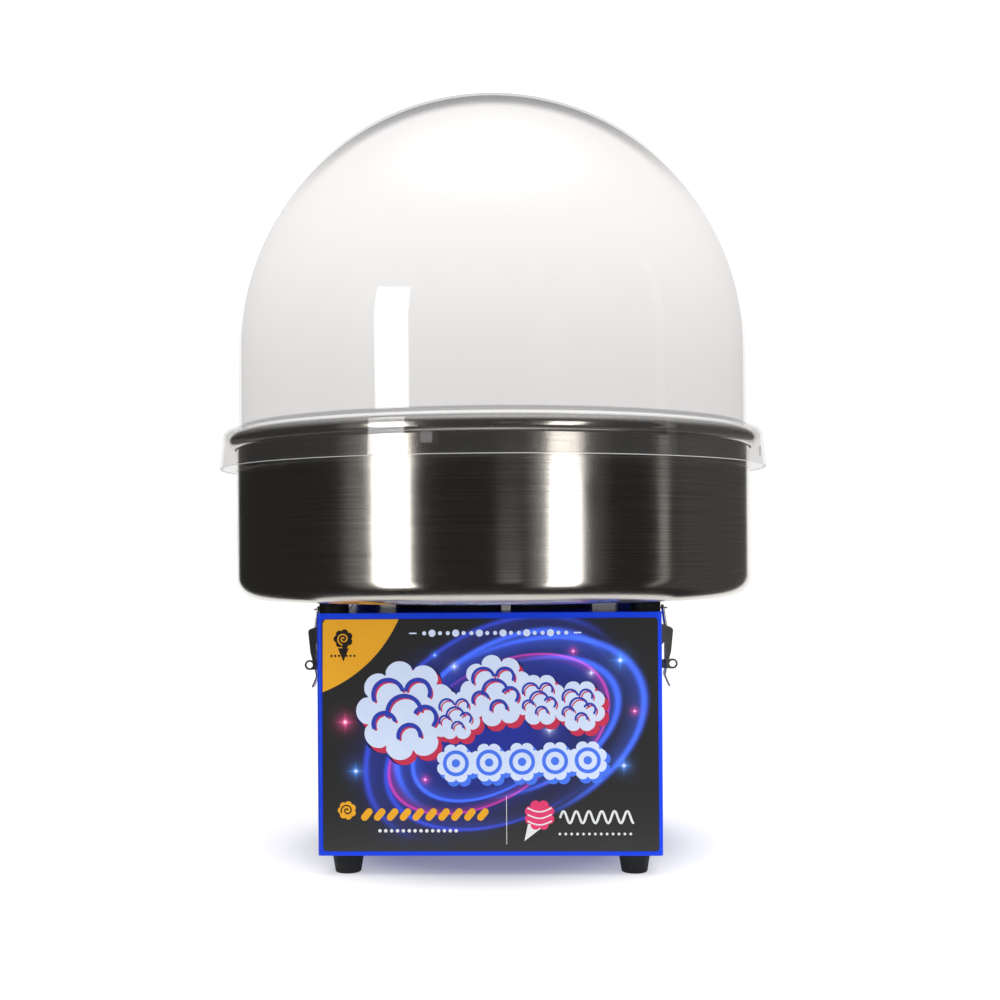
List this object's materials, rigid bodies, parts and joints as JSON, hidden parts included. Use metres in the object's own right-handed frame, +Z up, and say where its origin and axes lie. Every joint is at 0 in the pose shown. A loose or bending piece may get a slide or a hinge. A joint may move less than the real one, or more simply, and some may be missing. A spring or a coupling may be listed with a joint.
{
  "type": "cotton candy machine",
  "caption": "Counter-top cotton candy machine with a sheet-metal drive cabinet, spinner head, lift-off steel bowl, side latches and a clear dome.",
  "frame": {"origin": "on the floor plane, under the spinner's axis", "axes": "+Z up along the spinner's axis, -Y towards the graphic front, +X to the right as seen from the front"},
  "size_m": [0.701, 0.7008, 0.963],
  "materials": {
    "blue_powder_coat": "gloss powder coat",
    "art_sheet": "printed sheet, satin",
    "black_rubber": "moulded",
    "white_nylon": "satin",
    "spun_stainless": "circular brushed",
    "latch_steel": "bright zinc plate",
    "clear_polycarbonate": "clear, polished",
    "motor_paint": "semi-gloss black",
    "cast_aluminium": "as cast",
    "laminated_steel": "varnished laminations",
    "bearing_steel": "ground",
    "brass": "turned",
    "phenolic": "moulded",
    "carbon": "pressed carbon",
    "heater_alloy": "heat-tinted ribbon",
    "circuit_board": "solder mask",
    "switch_black": "moulded",
    "rocker_red": "translucent red",
    "knob_black": "moulded"
  },
  "bodies": {
    "cabinet": {"cabinet_shell": "blue_powder_coat", "base_plate": "blue_powder_coat", "cabinet_top": "blue_powder_coat", "rear_panel": "blue_powder_coat", "front_graphic_panel": "art_sheet", "case_screws": "latch_steel", "feet": "black_rubber", "foot_bolts": "latch_steel", "top_bumpers": "black_rubber", "opening_seal": "black_rubber", "locating_block": "white_nylon", "latch_bases": "latch_steel", "latch_rivets": "latch_steel", "latch_pivot_pins": "latch_steel", "motor_mount_plate": "latch_steel", "motor_posts": "bearing_steel", "isolators": "black_rubber", "mount_screws": "latch_steel", "motor_end_bells": "cast_aluminium", "motor_can": "motor_paint", "motor_stator": "laminated_steel", "motor_bearings": "bearing_steel", "brush_holder": "phenolic", "carbon_brushes": "carbon", "brush_springs": "bearing_steel", "heat_control_board": "circuit_board", "triac_heat_sink": "cast_aluminium", "terminal_block": "phenolic", "switch_housings": "switch_black", "heat_potentiometer": "bearing_steel", "breaker_body": "switch_black", "bushing_nuts": "bearing_steel", "power_inlet": "switch_black", "inlet_screws": "latch_steel"},
    "spinner": {"drive_shaft": "bearing_steel", "motor_rotor": "laminated_steel", "slip_ring_hub": "phenolic", "slip_rings": "brass", "head_base": "cast_aluminium", "sugar_cup": "cast_aluminium", "heater_ribbon": "heater_alloy", "head_band": "cast_aluminium", "head_cap": "cast_aluminium", "head_screws": "bearing_steel", "spinner_nut": "bearing_steel"},
    "bowl": {"bowl": "spun_stainless", "bowl_collar": "spun_stainless", "bowl_strap": "latch_steel", "strap_rivets": "latch_steel"},
    "dome": {"dome": "clear_polycarbonate", "dome_skirt_pads": "clear_polycarbonate"},
    "right_lever": {"latch_lever_right": "latch_steel"},
    "left_lever": {"latch_lever_left": "latch_steel"},
    "right_bail": {"latch_bail_right": "latch_steel"},
    "left_bail": {"latch_bail_left": "latch_steel"},
    "power_switch": {"power_rocker": "rocker_red"},
    "heat_switch": {"heat_rocker": "rocker_red"},
    "heat_control": {"heat_knob": "knob_black", "knob_shaft": "bearing_steel"},
    "breaker_reset": {"breaker_button": "switch_black"}
  },
  "joints": [
    {"name": "spinner_spin", "type": "hinge", "parent": "cabinet", "child": "spinner", "pos_m": [0, 0, 0.3], "axis": [0, 0, 1], "continuous": true},
    {"name": "bowl_lift", "type": "slide", "parent": "cabinet", "child": "bowl", "axis": [0, 0, 1], "range_m": [0, 0.2]},
    {"name": "dome_lift", "type": "slide", "parent": "bowl", "child": "dome", "axis": [0, 0, 1], "range_m": [0, 0.25]},
    {"name": "right_latch_open", "type": "hinge", "parent": "cabinet", "child": "right_lever", "pos_m": [0.2136, -0.1465, 0.2834], "axis": [0, -1, 0], "range_deg": [0, 110]},
    {"name": "right_bail_swing", "type": "hinge", "parent": "right_lever", "child": "right_bail", "pos_m": [0.2126, -0.1465, 0.2727], "axis": [0, -1, 0], "range_deg": [-165, 0]},
    {"name": "left_latch_open", "type": "hinge", "parent": "cabinet", "child": "left_lever", "pos_m": [-0.2136, -0.1465, 0.2834], "axis": [0, 1, 0], "range_deg": [0, 110]},
    {"name": "left_bail_swing", "type": "hinge", "parent": "left_lever", "child": "left_bail", "pos_m": [-0.2126, -0.1465, 0.2727], "axis": [0, 1, 0], "range_deg": [-165, 0]},
    {"name": "power_switch_rock", "type": "hinge", "parent": "cabinet", "child": "power_switch", "pos_m": [0.125, 0.199, 0.232], "axis": [1, 0, 0], "range_deg": [0, 24]},
    {"name": "heat_switch_rock", "type": "hinge", "parent": "cabinet", "child": "heat_switch", "pos_m": [0.07, 0.199, 0.232], "axis": [1, 0, 0], "range_deg": [0, 24]},
    {"name": "heat_knob_turn", "type": "hinge", "parent": "cabinet", "child": "heat_control", "pos_m": [0, 0.205, 0.232], "axis": [0, -1, 0], "range_deg": [0, 270]},
    {"name": "breaker_press", "type": "slide", "parent": "cabinet", "child": "breaker_reset", "axis": [0, -1, 0], "range_m": [0, 0.003], "stiffness_N_per_m": 300, "springref_m": -0.001}
  ],
  "couplings": [
    {"joint": "right_bail_swing", "follows": "right_latch_open", "ratio": -1.5},
    {"joint": "left_bail_swing", "follows": "left_latch_open", "ratio": -1.5}
  ]
}
